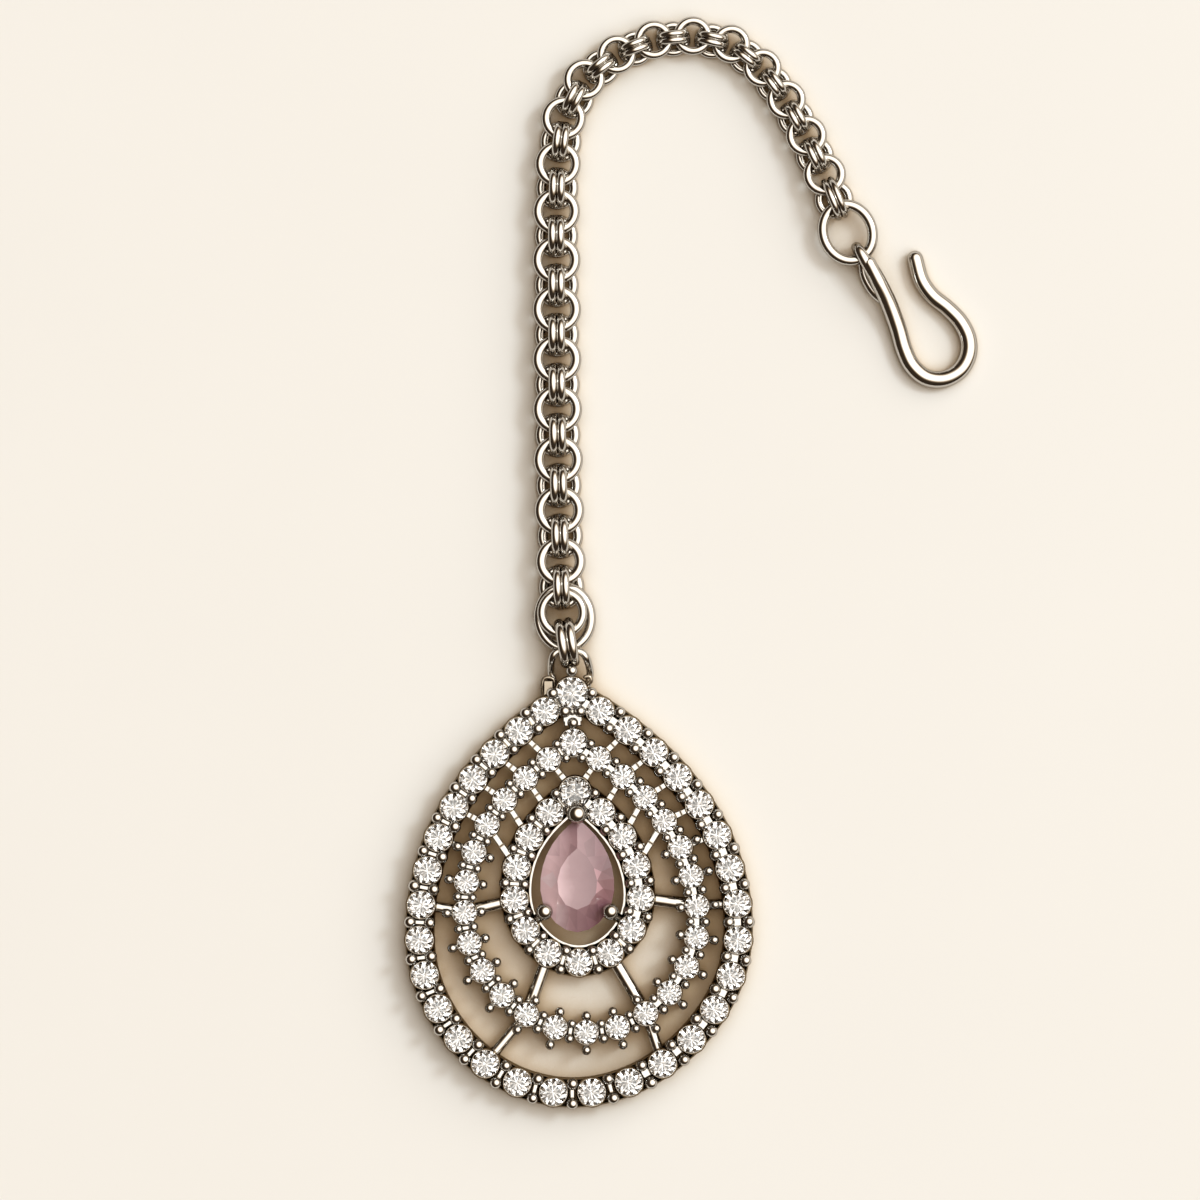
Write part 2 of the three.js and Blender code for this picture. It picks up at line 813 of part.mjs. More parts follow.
const root = new THREE.Group();
root.add(piece);

export default root;
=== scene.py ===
"""A maang tikka on a cream table, seen from straight above.

The chain, the hook, the pendant and its stones are built over the CAD frame. Shapes are worked out
in millimetres in the frame's own axes, and new_piece turns them into metres.
"""

import math
import random

import bmesh
import bpy
import numpy as np
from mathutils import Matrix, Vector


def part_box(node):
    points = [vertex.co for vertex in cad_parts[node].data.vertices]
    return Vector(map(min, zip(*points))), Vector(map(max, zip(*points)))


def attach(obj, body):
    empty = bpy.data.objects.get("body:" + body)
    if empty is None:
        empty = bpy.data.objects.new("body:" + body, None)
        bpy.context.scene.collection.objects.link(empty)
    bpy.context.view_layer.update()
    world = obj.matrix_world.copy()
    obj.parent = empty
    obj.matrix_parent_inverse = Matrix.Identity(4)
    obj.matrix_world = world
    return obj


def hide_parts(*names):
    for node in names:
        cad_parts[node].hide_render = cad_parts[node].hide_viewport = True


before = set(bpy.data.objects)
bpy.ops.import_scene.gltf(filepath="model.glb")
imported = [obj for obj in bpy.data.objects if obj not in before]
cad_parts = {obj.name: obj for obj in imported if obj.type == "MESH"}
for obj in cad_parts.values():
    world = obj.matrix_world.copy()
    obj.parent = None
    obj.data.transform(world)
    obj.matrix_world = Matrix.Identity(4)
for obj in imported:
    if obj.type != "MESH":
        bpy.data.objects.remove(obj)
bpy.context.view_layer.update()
random.seed(7)

MM = 0.001
UP = np.array([0.0, 0.0, 1.0])


# Materials

DENT_DEPTH = 0.06
# browns and darkens the metal's reflections at grazing angles: painted shade on the edges of wires and
# beads
EDGE_SHADE_TINT = (0.32, 0.27, 0.21, 1)


def new_material(name):
    """A node material: its nodes, its links and its Principled shader."""
    material = bpy.data.materials.new(name)
    material.use_nodes = True
    nodes, links = material.node_tree.nodes, material.node_tree.links
    return material, nodes, links, nodes["Principled BSDF"]


def fill_ramp(ramp, rows):
    """Gives a colour ramp its rows of a position and a colour."""
    stops = ramp.color_ramp.elements
    stops[0].position, stops[0].color = rows[0]
    stops[1].position, stops[1].color = rows[-1]
    for position, color in rows[1:-1]:
        stops.new(position).color = color


def polished_metal(name, color, roughness, dent_scale=900, grain_scale=2500):
    """Bright plated metal with faint dents, a polish that varies a little, and painted shade in its
    reflections at grazing angles.
    """
    material, nodes, links, shader = new_material(name)
    shader.inputs["Base Color"].default_value = (*color, 1)
    shader.inputs["Metallic"].default_value = 1
    shader.inputs["Specular Tint"].default_value = EDGE_SHADE_TINT
    place = nodes.new("ShaderNodeTexCoord")
    dents = nodes.new("ShaderNodeTexNoise")
    dents.inputs["Scale"].default_value = dent_scale
    dents.inputs["Detail"].default_value = 3
    links.new(place.outputs["Object"], dents.inputs["Vector"])
    bump = nodes.new("ShaderNodeBump")
    bump.inputs["Strength"].default_value = 0.05
    bump.inputs["Distance"].default_value = DENT_DEPTH * MM
    links.new(dents.outputs["Fac"], bump.inputs["Height"])
    links.new(bump.outputs["Normal"], shader.inputs["Normal"])
    wear = nodes.new("ShaderNodeTexNoise")
    wear.inputs["Scale"].default_value = grain_scale
    links.new(place.outputs["Object"], wear.inputs["Vector"])
    polish = nodes.new("ShaderNodeMapRange")
    polish.inputs["To Min"].default_value = roughness * 0.7
    polish.inputs["To Max"].default_value = roughness * 1.5
    links.new(wear.outputs["Fac"], polish.inputs["Value"])
    links.new(polish.outputs["Result"], shader.inputs["Roughness"])
    return material


def clear_stone_material(name, shade):
    """Colourless cubic zirconia. With a darker shade it makes a facet that carries a painted dark
    reflection.
    """
    material, nodes, links, shader = new_material(name)
    shader.inputs["Base Color"].default_value = (*shade, 1)
    shader.inputs["Roughness"].default_value = 0
    shader.inputs["IOR"].default_value = 2.15
    shader.inputs["Specular IOR Level"].default_value = 0.3
    shader.inputs["Transmission Weight"].default_value = 1
    return material


def rose_stone_material(name, depth):
    """Milky rose: cloudy, and paler on the left and deeper on the right, as painted light and shade.

    The ramp's colours are multiplied by depth, so a value over 1 makes a paler stone.
    """
    material, nodes, links, shader = new_material(name)
    position = nodes.new("ShaderNodeTexCoord")
    cloud = nodes.new("ShaderNodeTexNoise")
    cloud.inputs["Scale"].default_value = 260
    cloud.inputs["Detail"].default_value = 4
    links.new(position.outputs["Object"], cloud.inputs["Vector"])
    # the left-to-right part of the blend is painted light and shade
    sideways = nodes.new("ShaderNodeSeparateXYZ")
    links.new(position.outputs["Generated"], sideways.inputs[0])
    blend = nodes.new("ShaderNodeMath")
    blend.operation = "MULTIPLY_ADD"
    blend.inputs[1].default_value = CLOUD_SHARE
    links.new(cloud.outputs["Fac"], blend.inputs[0])
    links.new(sideways.outputs["X"], blend.inputs[2])
    tint = nodes.new("ShaderNodeValToRGB")
    fill_ramp(tint, [(place, tuple(min(part * depth, 1) for part in color)) for place, color in ROSE_TINT_AND_SHADE])
    links.new(blend.outputs["Value"], tint.inputs["Fac"])
    links.new(tint.outputs["Color"], shader.inputs["Base Color"])
    shader.inputs["Roughness"].default_value = 0.08
    shader.inputs["IOR"].default_value = 1.7
    shader.inputs["Transmission Weight"].default_value = 0.25
    return material


CLOUD_SHARE = 0.35
# the stone's rose colour, with painted light and shade from pale on the left to deep on the right
ROSE_TINT_AND_SHADE = (
    # how far from left to right, and the colour there
    (0.3, (1.0, 0.69, 0.72, 1)),
    (0.6, (0.42, 0.25, 0.265, 1)),
    (1.0, (0.21, 0.095, 0.11, 1)),
)
METAL = polished_metal("metal", (0.56, 0.53, 0.49), 0.07)
# a darker, browner copy of the metal for the low collars, rails and tabs: painted shade, as they lie down
# among the stones and beads
SHADED_SEAT_METAL = polished_metal("seat_metal_painted_shade", (0.33, 0.28, 0.22), 0.2, 1500, 3000)
CLEAR = clear_stone_material("clear_stone", (0.87, 0.87, 0.88))
# facets with painted reflections: grey and dark ones where a brilliant mirrors dark things, a dim grey
# mirror in its back as painted shade, and a white mirror as a painted glint in its core
GREY_REFLECTION_FACET = clear_stone_material("painted_grey_reflection", (0.19, 0.185, 0.18))
DARK_REFLECTION_FACET = clear_stone_material("painted_dark_reflection", (0.02, 0.017, 0.015))
SHADED_BACK_FACET = polished_metal("back_facet_painted_shade", (0.38, 0.36, 0.34), 0.06)
WHITE_GLINT_FACET = polished_metal("painted_white_glint", (0.93, 0.93, 0.93), 0.12)
# paler and deeper copies of the rose stone, for painted light and shade on single facets, and a much paler
# one for a painted glint
ROSE = rose_stone_material("rose_stone", 1.0)
LIT_ROSE_FACET = rose_stone_material("pale_rose_painted_light", 1.1)
SHADED_ROSE_FACET = rose_stone_material("deep_rose_painted_shade", 0.86)
ROSE_GLINT = rose_stone_material("rose_painted_glint", 1.7)


# Meshes


class Shape:
    """Points and faces, gathered from several parts into one mesh."""

    def __init__(self):
        self.points = []
        self.faces = []
        self.looks = []

    def add(self, points, faces, looks=None):
        """looks has the number of each face's material."""
        start = len(self.points)
        self.points.extend(points)
        self.faces.extend([start + corner for corner in face] for face in faces)
        self.looks.extend(looks or [0] * len(faces))


def new_piece(name, shape, material, node=None, crease=40):
    """A piece of the object from a shape in millimetres. It stands for the CAD node if one is named."""
    mesh = bpy.data.meshes.new(name)
    mesh.from_pydata([tuple(np.asarray(point) * MM) for point in shape.points], [], shape.faces)
    turn_outward(mesh)
    for look in material if isinstance(material, tuple) else (material,):
        mesh.materials.append(look)
    mesh.polygons.foreach_set("material_index", shape.looks)
    mesh.shade_smooth()
    mesh.set_sharp_from_angle(angle=math.radians(crease))
    piece = bpy.data.objects.new(name, mesh)
    bpy.context.scene.collection.objects.link(piece)
    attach(piece, "root")
    if node:
        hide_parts(node)
    return piece


def turn_outward(mesh):
    """Turns every face of the mesh to face out of its solid."""
    work = bmesh.new()
    work.from_mesh(mesh)
    bmesh.ops.recalc_face_normals(work, faces=work.faces)
    work.to_mesh(mesh)
    work.free()


def grid_faces(rows, columns, close_rows):
    """Quads between rows of points. Each row is a closed loop. close_rows joins the last to the first."""
    faces = []
    for i in range(rows if close_rows else rows - 1):
        for j in range(columns):
            here, across = i * columns, (i + 1) % rows * columns
            following = (j + 1) % columns
            faces.append((here + j, across + j, across + following, here + following))
    return faces


def swept_ring(shape, middle, along, up, length, width, wire, steps=64, sides=20, offset=0.0):
    """A closed wire round an oval. Its centreline is length by width, and offset moves it along up."""
    along, up = unit(along), unit(up)
    across = np.cross(up, along)
    points = []
    for i in range(steps):
        turn = 2 * math.pi * i / steps
        spot = middle + along * (length / 2 * math.cos(turn)) + across * (width / 2 * math.sin(turn))
        out = unit(along * (width * math.cos(turn)) + across * (length * math.sin(turn)))
        for j in range(sides):
            angle = 2 * math.pi * j / sides
            lift = up * (wire / 2 * math.sin(angle) + offset)
            points.append(spot + out * (wire / 2 * math.cos(angle)) + lift)
    shape.add(points, grid_faces(steps, sides, True))


def unit(vector):
    vector = np.asarray(vector, float)
    return vector / np.linalg.norm(vector)


def swept_wire(shape, points, wires, sides=20, ends="round"):
    """An open wire along points, with its own width at each, and closed, rounded ends."""
    points = np.asarray(points, float)
    headings = [unit(d) for d in np.gradient(points, axis=0)]
    side = unit(np.cross(headings[0], UP if abs(headings[0][2]) < 0.9 else (1, 0, 0)))
    rings = []
    for place, heading, wire in zip(points, headings, wires):
        side = unit(side - heading * side.dot(heading))
        other = np.cross(heading, side)
        rings.append((place, heading, side, other, wire / 2))
    domes = 4 if ends == "round" else 0
    capped = []
    for k in range(domes, 0, -1):
        capped.append(dome_ring(rings[0], -1, k / (domes + 0.5)))
    capped += rings
    for k in range(1, domes + 1):
        capped.append(dome_ring(rings[-1], 1, k / (domes + 0.5)))
    corners = []
    for place, heading, side, other, radius in capped:
        for j in range(sides):
            angle = 2 * math.pi * j / sides
            corners.append(place + radius * (side * math.cos(angle) + other * math.sin(angle)))
    faces = grid_faces(len(capped), sides, False)
    faces.append(tuple(range(sides)))
    faces.append(tuple(reversed(range(len(corners) - sides, len(corners)))))
    shape.add(corners, faces)


def dome_ring(ring, way, share):
    """One ring of a wire's rounded end, at that share of the way to its pole."""
    place, heading, side, other, radius = ring
    angle = share * math.pi / 2
    return place + heading * way * radius * math.sin(angle), heading, side, other, radius * math.cos(angle)


def wire_along(shape, curve, wire, stations, sides):
    """An even wire along a curve."""
    swept_wire(shape, [curve.at(s) for s in np.linspace(0, 1, stations)], [wire] * stations, sides)


def ball(shape, middle, radius, sides=20):
    rings = sides // 2
    points = []
    for i in range(1, rings):
        tilt = math.pi * i / rings
        for j in range(sides):
            turn = 2 * math.pi * j / sides
            x, y = math.sin(tilt) * math.cos(turn), math.sin(tilt) * math.sin(turn)
            points.append(middle + radius * np.array([x, y, math.cos(tilt)]))
    faces = grid_faces(rings - 1, sides, False)
    top, foot = len(points), len(points) + 1
    points += [middle + UP * radius, middle - UP * radius]
    for j in range(sides):
        following = (j + 1) % sides
        faces.append((top, j, following))
        faces.append((foot, (rings - 2) * sides + following, (rings - 2) * sides + j))
    shape.add(points, faces)


def turned(shape, middle, profile, sides=32):
    """A profile of (radius, height) rows turned about an upright axis. It closes on itself."""
    points = []
    for j in range(sides):
        turn = 2 * math.pi * j / sides
        for radius, height in profile:
            points.append(middle + np.array([radius * math.cos(turn), radius * math.sin(turn), height]))
    shape.add(points, grid_faces(sides, len(profile), True))


def bar(shape, start, end, width, bottom, top, soft=0.07):
    """A flat bar from start to end with softened upper edges."""
    along = unit([end[0] - start[0], end[1] - start[1], 0])
    side = np.array([-along[1], along[0], 0])
    levels = [(0, bottom), (0, top - soft), (soft, top)]
    points = []
    for inset, height in levels:
        for way, hand in ((-1, -1), (1, -1), (1, 1), (-1, 1)):
            origin = np.array([*(start if way < 0 else end)[:2], height])
            points.append(origin - along * way * inset + side * hand * (width / 2 - inset))
    faces = [(3, 2, 1, 0), (8, 9, 10, 11)]
    for level in (0, 4):
        for j in range(4):
            k = (j + 1) % 4
            faces.append((level + j, level + k, level + 4 + k, level + 4 + j))
    shape.add(points, faces)


# Curves, the same ones as in the part's source

CURVE_STEPS = 120


class Curve:
    """A smooth open curve through points, measured along its length."""

    def __init__(self, points, steps=CURVE_STEPS):
        points = [np.asarray(point, float) for point in points]
        ends = [2 * points[0] - points[1], *points, 2 * points[-1] - points[-2]]
        places = [points[0]]
        for before, start, end, after in zip(ends, ends[1:], ends[2:], ends[3:]):
            spans = [np.linalg.norm(b - a) ** 0.5 for a, b in ((before, start), (start, end), (end, after))]
            leaving = slope(before, start, end, spans[0], spans[1]) * spans[1]
            arriving = slope(start, end, after, spans[1], spans[2]) * spans[1]
            for k in range(1, steps + 1):
                places.append(hermite(start, end, leaving, arriving, k / steps))
        self.places = np.array(places)
        steps_long = np.linalg.norm(np.diff(self.places, axis=0), axis=1)
        lengths = np.concatenate([[0], np.cumsum(steps_long)])
        self.shares = lengths / lengths[-1]

    def at(self, share):
        return np.array([np.interp(share, self.shares, axis) for axis in self.places.T])

    def heading(self, share):
        step = 0.001
        return unit(self.at(min(share + step, 1)) - self.at(max(share - step, 0)))


def slope(before, middle, after, span_in, span_out):
    """The speed of a centripetal curve at its middle point."""
    whole = (after - before) / (span_in + span_out)
    return (middle - before) / span_in - whole + (after - middle) / span_out


def hermite(start, end, leaving, arriving, t):
    rest = -3 * start + 3 * end - 2 * leaving - arriving
    turn = 2 * start - 2 * end + leaving + arriving
    return start + leaving * t + rest * t**2 + turn * t**3


def middle_of(node):
    low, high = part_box(node)
    return (np.array(low) + np.array(high)) / 2 / MM


# The chain, with the part's sizes. Ring 20 and link 21 are next to the pendant.

RINGS = 20
RING_WIRE = 1.0
LAST_RING_WIRE = 0.84
RING_OUTSIDE = 4.6
UPRIGHT_WIRE = 0.82
UNDER_WIRE = 0.92
UNDER_OUTSIDE = 4.2
RINGS_APART = 0.08
RING_CLEARANCE = 0.14
HOLE = 2 * RING_WIRE + RINGS_APART + 2 * RING_CLEARANCE
WIRES_APART = 0.94
RING_SCALE = (
    # share of the way from the pendant to the hook, and the rings' scale there
    (0.0, 0.985),
    (0.35, 0.95),
    (0.52, 0.88),
    (0.64, 0.76),
    (0.86, 0.755),
    (1.0, 0.84),
)
LAST_LINK = {"wire": 0.76, "hole": 2.5}
END_LINK = {"wire": 0.9, "hole": 2.7}
HOOK_LINK = {"wire": 0.64, "hole": 2.7}
PENDANT_JUMP = {"wire": 0.9, "width": 5.6, "far_height": 1.456, "near_height": 1.556}
SEAT_GAP = 0.1
LAST_LINK_DROP = 0.08


def ring_name(number):
    return f"chain_ring_{number:02d}"


def link_name(number):
    return f"upright_link_{number:02d}"


def scale_of(number):
    """The scale of a ring, by its number from the hook."""
    share = (RINGS - number) / (RINGS - 1)
    return float(np.interp(share, *zip(*RING_SCALE)))


def link_size(number):
    """The wire and the hole of a link, and the scale of the flat ring under it."""
    scale = (scale_of(min(number, RINGS)) + scale_of(max(number - 1, 1))) / 2
    if number == RINGS + 1:
        return END_LINK["wire"], END_LINK["hole"], None
    if number == RINGS:
        return LAST_LINK["wire"], LAST_LINK["hole"], scale
    if number == 1:
        return HOOK_LINK["wire"], HOOK_LINK["hole"], scale_of(1)
    return UPRIGHT_WIRE * scale, HOLE * scale, scale


def level(vector):
    return unit([vector[0], vector[1], 0])


def chain_rings():
    for number in range(1, RINGS + 1):
        scale = scale_of(number)
        wire = (LAST_RING_WIRE if number == RINGS else RING_WIRE) * scale
        across = RING_OUTSIDE * scale - wire
        run = middle_of(link_name(number)) - middle_of(link_name(number + 1))
        tilt = math.atan2(holding_height(number) - holding_height(number + 1), across)
        along = level(run) * math.cos(tilt) + UP * math.sin(tilt)
        up = np.cross(along, np.cross(UP, level(run)))
        shape = Shape()
        swept_ring(shape, middle_of(ring_name(number)), along, up, across, across, wire)
        new_piece(f"ring_{number:02d}", shape, METAL, ring_name(number))


def holding_height(number):
    """The height at which a link holds its rings. Ring 20 lies over the pendant's jump ring."""
    wire, hole, _ = link_size(number)
    if number < RINGS:
        return hole / 2 + wire
    wires = (PENDANT_JUMP["wire"] + LAST_RING_WIRE * scale_of(RINGS)) / 2
    lifted = PENDANT_JUMP["far_height"] + wires + SEAT_GAP
    return lifted - (LAST_LINK_DROP if number == RINGS else 0)


def upright_links():
    for number in range(1, RINGS + 2):
        wire, hole, under = link_size(number)
        nearer = ring_name(number) if number <= RINGS else link_name(number)
        farther = ring_name(number - 1) if number > 1 else link_name(1)
        heading = level(middle_of(farther) - middle_of(nearer))
        spot = middle_of(link_name(number))
        spot[2] = hole / 2 + wire
        axis, across = np.cross(heading, UP), hole + wire
        shape = Shape()
        for way in (-1, 1):
            offset = way * wire * WIRES_APART / 2
            swept_ring(shape, spot, heading, axis, across, across, wire, 56, 18, offset)
        if under:
            size = (UNDER_OUTSIDE - UNDER_WIRE) * under
            floor_spot = np.array([spot[0], spot[1], UNDER_WIRE * under / 2])
            swept_ring(shape, floor_spot, heading, UP, size, size, UNDER_WIRE * under, 56, 14)
        new_piece(f"link_{number:02d}", shape, METAL, link_name(number))


chain_rings()
upright_links()


# The two jump rings and the hook

HOOK_JUMP = {"wire": 0.86, "length": 6.0, "width": 5.25}
HOOK_JUMP_LOOK = 1.1  # its wire in the photo, as a share of the part's
HOOK = {"wire": 1.55, "eye_wire": 0.96, "length": 13.5, "width": 5.85, "turn": 31, "eye_clearance": 0.1}
HOOK_OUTLINE = (
    # along, across, lift, wire
    (0.06, 0.03, 1.0, 0.80),
    (0.2, 0.01, 0.74, 0.95),
    (0.36, -0.02, 0.34, 1.0),
    (0.53, -0.09, 0.08, 1.0),
    (0.67, -0.175, 0.01, 1.0),
    (0.79, -0.2, 0.0, 1.0),
    (0.905, -0.11, 0.0, 1.0),
    (0.975, 0.11, 0.0, 1.0),
    (0.98, 0.4, 0.0, 1.0),
    (0.92, 0.63, 0.0, 1.0),
    (0.83, 0.755, 0.0, 0.98),
    (0.71, 0.785, 0.0, 0.96),
    (0.58, 0.72, 0.0, 0.94),
    (0.46, 0.62, 0.0, 0.93),
    (0.336, 0.6, 0.0, 0.93),
    (0.19, 0.69, 0.0, 0.93),
)
HOOK_STEPS = 16
HOOK_RETURN = (0.3, -0.05)
EYE_TAPER = (
    # share of the way along the eye, and its wire's scale there
    (0.0, 1.25),
    (0.2, 1.15),
    (0.35, 1.0),
    (1.0, 1.0),
)


def pendant_jump_ring():
    ring = PENDANT_JUMP
    far = middle_of(link_name(RINGS))
    near = 2 * middle_of("pendant_jump_ring") - far
    run = np.array([far[0] - near[0], far[1] - near[1], ring["far_height"] - ring["near_height"]])
    up = np.cross(run, np.cross(UP, level(run)))
    shape = Shape()
    middle = middle_of("pendant_jump_ring")
    swept_ring(shape, middle, run, up, np.linalg.norm(run), ring["width"] - ring["wire"], ring["wire"], 72)
    new_piece("pendant_ring", shape, METAL, "pendant_jump_ring")


def hook_ring_heading():
    return level(middle_of("hook_jump_ring") - middle_of(link_name(1)))


def hook_jump_ring():
    wire, length, width = (HOOK_JUMP[key] for key in ("wire", "length", "width"))
    middle, heading = middle_of("hook_jump_ring"), hook_ring_heading()
    shape = Shape()
    swept_ring(shape, middle, heading, UP, length - wire, width - wire, wire * HOOK_JUMP_LOOK, 80, 24)
    new_piece("hook_ring", shape, METAL, "hook_jump_ring")


def hook():
    ring_middle = middle_of("hook_jump_ring")
    turn = math.radians(HOOK["turn"])
    along = np.array([math.sin(turn), -math.cos(turn), 0])
    across = np.array([math.cos(turn), math.sin(turn), 0])
    off_axis = math.acos(along.dot(hook_ring_heading()))
    half_length = (HOOK_JUMP["length"] - HOOK_JUMP["wire"]) / 2
    half_width = (HOOK_JUMP["width"] - HOOK_JUMP["wire"]) / 2
    reach = 1 / math.hypot(math.cos(off_axis) / half_length, math.sin(off_axis) / half_width)
    origin = ring_middle + along * reach
    loop = (HOOK_JUMP["wire"] + HOOK["eye_wire"]) / 2 + HOOK["eye_clearance"]
    rest = HOOK["wire"] / 2
    ring_height = ring_middle[2]
    top = ring_height + loop

    def at(down, sideways, height):
        spot = origin + along * down + across * sideways
        return np.array([spot[0], spot[1], height])

    shank, wires = [], []
    for down, sideways, lift, wire in HOOK_OUTLINE:
        height = rest + (top - rest) * lift
        shank.append(at(down * HOOK["length"], sideways * HOOK["width"], height))
        wires.append(wire * HOOK["wire"])
    curve = Curve(shank, HOOK_STEPS)
    stations = np.linspace(0, 1, 110)
    widths = np.interp(stations, curve.shares[::HOOK_STEPS], wires)
    shape = Shape()
    swept_wire(shape, [curve.at(s) for s in stations], widths, 28)
    back, side = HOOK_RETURN[0] * HOOK["length"], HOOK_RETURN[1] * HOOK["width"]
    # the eye goes over the jump ring, round it, and back along under the shank
    eye = [
        at(0.2 * HOOK["length"], 0, rest + (top - rest) * 0.72),
        at(0.1 * HOOK["length"], 0, rest + (top - rest) * 0.94),
        at(0, 0, top),
        at(-loop * 0.71, 0, ring_height + loop * 0.71),
        at(-loop, 0, ring_height),
        at(-loop * 0.71, 0, ring_height - loop * 0.71),
        at(0, 0, ring_height - loop),
        at(back * 0.4, side * 2.2, ring_height - loop + 0.05),
        at(back * 0.8, side * 2.4, ring_height - loop + 0.35),
        at(back * 1.1, side, rest + 0.45),
    ]
    eye_curve = Curve(eye, HOOK_STEPS)
    eye_stations = np.linspace(0, 1, 60)
    eye_widths = np.interp(eye_stations, *zip(*EYE_TAPER)) * HOOK["eye_wire"]
    swept_wire(shape, [eye_curve.at(s) for s in eye_stations], eye_widths, 22)
    new_piece("hook_wire", shape, METAL, "hook", crease=60)


pendant_jump_ring()
hook_jump_ring()
hook()


# The pendant, with the part's sizes. Its own zero is the middle of the outer row's tip stone.

PEAR_OUTLINE = (
    # down, out
    (0.0, 0.0),
    (0.09, 0.33),
    (0.21, 0.64),
    (0.365, 0.885),
    (0.55, 1.0),
    (0.71, 0.96),
    (0.86, 0.74),
    (0.965, 0.39),
)
CENTRE_STONE = {"width": 6.6, "height": 10.2, "tip": (0.5, 11.2)}
STONE_SIDEWAYS, STONE_DOWN = CENTRE_STONE["tip"]
TIP = middle_of("pear_stone") + np.array([-STONE_SIDEWAYS, STONE_DOWN + CENTRE_STONE["height"] / 2, 0])
TIP[2] = 0


def pear_curve(width, height, tip, lean=0.0, bow=0.0):
    def place(down, out, side):
        x = tip[0] + lean * down + bow * math.sin(math.pi * down) + side * out * width / 2
        return TIP + np.array([x, -tip[1] - down * height, 0])

    right = [place(down, out, 1) for down, out in PEAR_OUTLINE]
    left = [place(down, out, -1) for down, out in reversed(PEAR_OUTLINE)]
    return Curve([*right, place(1, 0, 0), *left])


class Row:
    """A row of stones along a pear, counted clockwise from its tip.

    stone, tip_stone: widths. wall: the collar's. bead, bead_out: radius, and distance from the row.
    """

    def __init__(
        self, stones, width, height, tip, lean, bow, first_pitch, stone, tip_stone, wall, bead, bead_out
    ):
        self.stones, self.first_pitch = stones, first_pitch
        self.stone, self.tip_stone, self.wall = stone, tip_stone, wall
        self.bead, self.bead_out = bead, bead_out
        self.curve = pear_curve(width, height, tip, lean, bow)
        self.foot = self.curve.shares[len(PEAR_OUTLINE) * CURVE_STEPS]

    def place(self, number):
        """The middle of a stone, or of a junction at a half number, and the outward direction there."""
        count = number % self.stones
        right = count <= self.stones / 2
        step = (count if right else self.stones - count) / (self.stones / 2)
        first = 2 * self.first_pitch / (1 + self.first_pitch)
        down = first * step + (1 - first) * step**2
        share = down * self.foot if right else 1 - down * (1 - self.foot)
        run = self.curve.heading(share)
        outward = np.array([0.0, 1.0, 0.0]) if count == 0 else np.array([-run[1], run[0], 0])
        return self.curve.at(share), outward

    def radius(self, number):
        return (self.stone if number % self.stones else self.tip_stone) / 2


OUTER = Row(
    stones=31, width=28.5, height=35.9, tip=(0, 0), lean=0.05, bow=0.65, first_pitch=0.85,
    stone=2.48, tip_stone=2.9, wall=0.16, bead=0.55, bead_out=0.89,
)
MIDDLE = Row(
    stones=26, width=20.8, height=25.95, tip=(0.15, 4.45), lean=1.15, bow=0, first_pitch=0.94,
    stone=2.16, tip_stone=2.5, wall=0.12, bead=0.43, bead_out=0.68,
)
HALO = Row(
    stones=14, width=11.3, height=15.25, tip=(0.3, 8.9), lean=0.35, bow=0, first_pitch=1,
    stone=2.44, tip_stone=2.88, wall=0.16, bead=0.5, bead_out=0.87,
)
SEAT_TOP = 2.42
STONE_TOP = 2.9
RAIL_TOP = 1.6
RAIL_WIDTH = 0.22
RAIL_STEPS = 12  # from stone to stone
POST_WIDTH = 1.3  # of the bead's radius
BEAD_HEIGHT = 2.74
TIP_BEAD_SPREAD = 0.08
BEAD_SIZES = (0.94, 1.05)  # the smallest and the largest, of the row's bead
WIDE_BAR = {"width": 0.72, "bottom": 1.6, "top": 2.5}
NARROW_BAR = {"width": 0.4, "bottom": 1.4, "top": 2.25}
RADIAL_BEAD = {"reaches": (-1.48, 1.6), "radius": 0.44, "height": 2.6, "first_stone": 5}
RADIAL_BAR = {"width": 0.5, "bottom": 0.8, "top": 2.2}
WELL_RIM = {"offset": -1.44, "width": 0.17, "bottom": 1.0, "top": 2.1, "chamfer": 0.01}


def seats(shape, row):
    """A round collar under each stone, open at the back."""
    for number in range(row.stones):
        spot, _ = row.place(number)
        radius = row.radius(number)
        outside = radius + row.wall
        profile = [
            # radius, height
            (radius * 0.5, 0.5),
            (outside - 0.3, 0.3),
            (outside - 0.05, 1.0),
            (outside, SEAT_TOP - 0.3),
            (radius + 0.03, SEAT_TOP),
            (radius - 0.02, SEAT_TOP),
            (radius - 0.06, SEAT_TOP - 0.12),
        ]
        turned(shape, spot, profile)


def rail(shape, row, offset, width, bottom, top, chamfer):
    """A thin wall along the row, which the collars are soldered to. Its top slopes down both ways."""
    edge = top - chamfer
    profile = ((-width, bottom), (width, bottom), (width, edge), (0, top), (-width, edge))
    points = []
    for i in range(RAIL_STEPS * row.stones):
        spot, outward = row.place(i / RAIL_STEPS)
        for out, height in profile:
            points.append(spot + outward * (offset + out / 2) + UP * height)
    shape.add(points, grid_faces(RAIL_STEPS * row.stones, len(profile), True))


def bead_on_post(shape, spot, radius, height=BEAD_HEIGHT):
    post = radius * POST_WIDTH
    swept_wire(shape, [spot + UP * 0.5, spot + UP * height], [post, post], 12, ends="flat")
    ball(shape, spot + UP * height, radius, 20)


